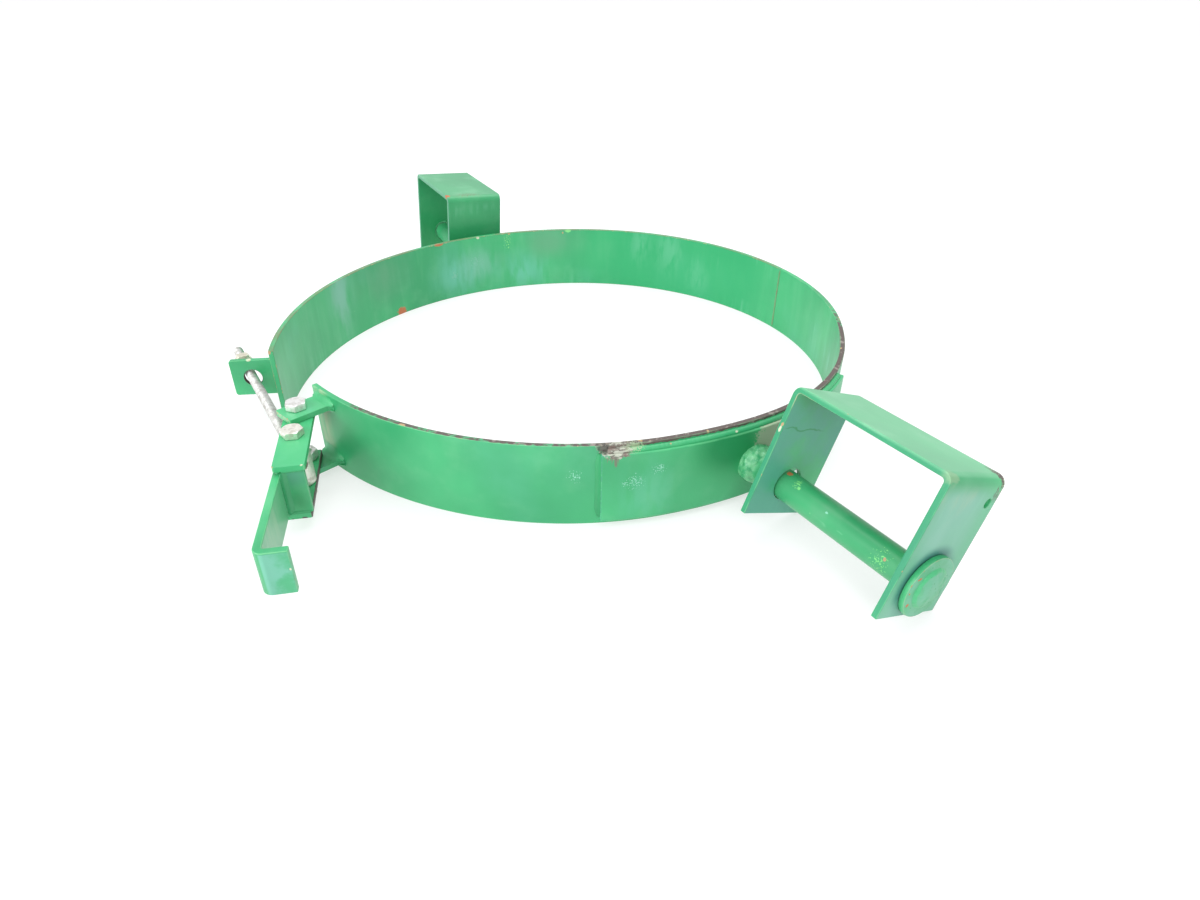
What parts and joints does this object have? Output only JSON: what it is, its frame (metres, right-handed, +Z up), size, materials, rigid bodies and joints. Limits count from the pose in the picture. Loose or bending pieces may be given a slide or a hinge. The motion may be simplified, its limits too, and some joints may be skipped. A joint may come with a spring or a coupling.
{
  "type": "drum lifter",
  "caption": "Split steel band clamp for a drum with an over-centre latch, threaded tension rod and two trunnion shafts carrying swinging fork brackets.",
  "frame": {"origin": "centre of the footprint of the whole part at rest, on the floor plane that the band stands on", "axes": "+X along the trunnion shafts to the right one, +Z up, latch and gap of the band on the -Y side"},
  "size_m": [0.9754, 0.6912, 0.136],
  "materials": {
    "green_paint": "worn semi-gloss mid green enamel with pale oxidised patches and small rust chips",
    "zinc_plate": "bright zinc plate, slightly dulled"
  },
  "bodies": {
    "clamp_band": {"band_half_left": "green_paint", "band_half_right": "green_paint", "trunnion_pad_left": "green_paint", "trunnion_pad_right": "green_paint", "trunnion_shaft_left": "green_paint", "trunnion_shaft_right": "green_paint", "end_washer_left": "green_paint", "end_washer_right": "green_paint", "rod_lug": "green_paint", "upper_ear": "green_paint", "lower_ear": "green_paint", "upper_pivot_bolt": "zinc_plate", "upper_pivot_nut": "zinc_plate", "lower_pivot_bolt": "zinc_plate", "lower_pivot_nut": "zinc_plate"},
    "latch_lever": {"lever_upper_strap": "green_paint", "lever_lower_strap": "green_paint", "lever_end_plate": "green_paint", "latch_handle": "green_paint", "link_bolt": "zinc_plate", "link_nut": "zinc_plate"},
    "rod_and_barrel": {"link_barrel": "zinc_plate", "tension_rod": "zinc_plate"},
    "rod_nut": {"adjusting_nut": "zinc_plate"},
    "right_bracket": {"fork_bracket_right": "green_paint"},
    "left_bracket": {"fork_bracket_left": "green_paint"}
  },
  "joints": [
    {"name": "latch_lever_pivot", "type": "hinge", "parent": "clamp_band", "child": "latch_lever", "pos_m": [0.05706, -0.27248, 0.04], "axis": [0, 0, 1], "range_deg": [-45, 35]},
    {"name": "tension_rod_swing", "type": "hinge", "parent": "latch_lever", "child": "rod_and_barrel", "pos_m": [0.09295, -0.28526, 0.041], "axis": [0, 0, 1], "range_deg": [-29, 37]},
    {"name": "adjusting_nut_travel", "type": "slide", "parent": "rod_and_barrel", "child": "rod_nut", "axis": [-0.9997, -0.0101, -0.0211], "range_m": [-0.022, 0.025]},
    {"name": "right_bracket_swing", "type": "hinge", "parent": "clamp_band", "child": "right_bracket", "pos_m": [0.29637, 0.06023, 0.04], "axis": [1, 0, 0], "continuous": true},
    {"name": "left_bracket_swing", "type": "hinge", "parent": "clamp_band", "child": "left_bracket", "pos_m": [-0.2961, 0.06125, 0.04], "axis": [-0.9976, 0.0698, 0], "continuous": true}
  ],
  "couplings": [
    {"joint": "tension_rod_swing", "follows": "latch_lever_pivot", "ratio": -0.82}
  ]
}
